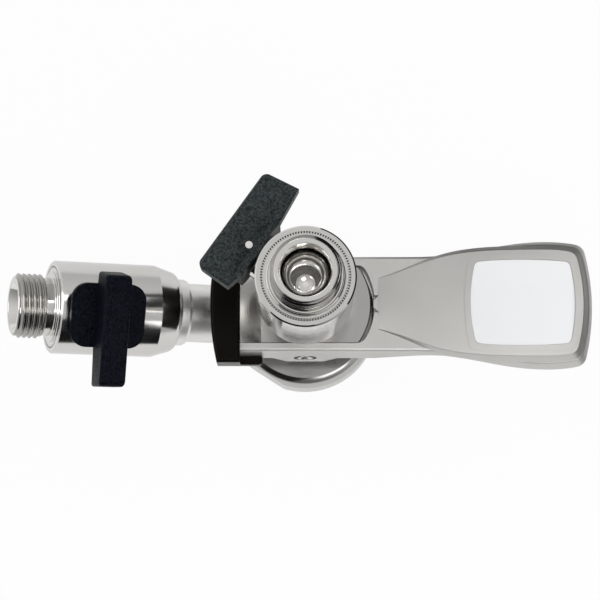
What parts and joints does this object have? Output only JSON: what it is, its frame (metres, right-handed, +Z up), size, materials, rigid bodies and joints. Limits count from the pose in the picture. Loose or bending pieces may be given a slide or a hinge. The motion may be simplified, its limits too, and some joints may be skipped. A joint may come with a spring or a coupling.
{
  "type": "keg coupler",
  "caption": "Bayonet keg coupler: chromed housing, lever-driven beer probe and a ball valve with a black handle on the gas and on the beer line.",
  "frame": {"origin": "centre of the face that seats on the keg neck, on the probe axis", "axes": "+Z up the probe to the beer outlet, +X along the lever to its grip, gas inlet towards -X and tilted up 19 degrees"},
  "size_m": [0.2547, 0.0829, 0.1895],
  "materials": {
    "chrome": "bright chrome plate",
    "valve_steel": "turned and polished stainless steel",
    "satin_steel": "satin turned stainless steel",
    "steel": "polished stainless steel",
    "cast_lever": "satin nickel on a die casting",
    "black_grained": "black plastic with a fine moulded grain",
    "black_smooth": "smooth black plastic",
    "label": "bare glossy white label plate",
    "rubber": "black food-grade rubber",
    "ptfe": "white PTFE"
  },
  "bodies": {
    "housing": {"housing": "chrome", "keg_seal": "rubber", "hinge_pin": "steel", "gas_tail": "satin_steel", "gas_lip_valve": "rubber", "gas_valve_body": "valve_steel", "gas_valve_end": "valve_steel", "gas_outer_seat": "ptfe", "gas_inner_seat": "ptfe", "gas_packing": "ptfe", "gas_gland": "steel"},
    "probe": {"probe": "steel", "trunnion_pins": "steel", "probe_o_rings": "rubber", "probe_tip_seal": "rubber", "ball_stop": "ptfe", "probe_locknut": "steel", "beer_valve_body": "valve_steel", "beer_valve_end": "valve_steel", "beer_outer_seat": "ptfe", "beer_inner_seat": "ptfe", "beer_packing": "ptfe", "beer_gland": "steel"},
    "check_ball": {"check_ball": "steel"},
    "lever": {"lever_fork": "cast_lever", "hinge_cover": "black_smooth", "latch_spring": "steel"},
    "grip": {"grip_cover": "cast_lever", "grip_label": "label", "latch_bar": "steel"},
    "gas_tap": {"gas_ball": "steel", "gas_stem": "steel", "gas_handle": "black_grained", "gas_handle_screw": "steel"},
    "beer_tap": {"beer_ball": "steel", "beer_stem": "steel", "beer_handle": "black_grained", "beer_handle_screw": "steel"}
  },
  "joints": [
    {"name": "lever_swing", "type": "hinge", "parent": "housing", "child": "lever", "pos_m": [-0.0315, 0, 0.0525], "axis": [0, -1, 0], "range_deg": [0, 30]},
    {"name": "probe_lift", "type": "slide", "parent": "housing", "child": "probe", "axis": [0, 0, 1], "range_m": [0, 0.01677]},
    {"name": "grip_pull", "type": "slide", "parent": "lever", "child": "grip", "axis": [1, 0, 0], "range_m": [0, 0.004], "stiffness_N_per_m": 900, "springref_m": -0.006, "deforming": ["latch_spring"]},
    {"name": "gas_valve_turn", "type": "hinge", "parent": "housing", "child": "gas_tap", "pos_m": [-0.092, 0, 0.04168], "axis": [0.3159, -0.2419, 0.9174], "range_deg": [0, 90]},
    {"name": "beer_valve_turn", "type": "hinge", "parent": "probe", "child": "beer_tap", "pos_m": [0, 0, 0.111], "axis": [0.8131, -0.5821, 0], "range_deg": [0, 90]},
    {"name": "check_ball_lift", "type": "slide", "parent": "probe", "child": "check_ball", "axis": [0, 0, 1], "range_m": [0, 0.005]}
  ],
  "couplings": [
    {"joint": "probe_lift", "follows": "lever_swing", "m_per_rad": 0.032}
  ]
}
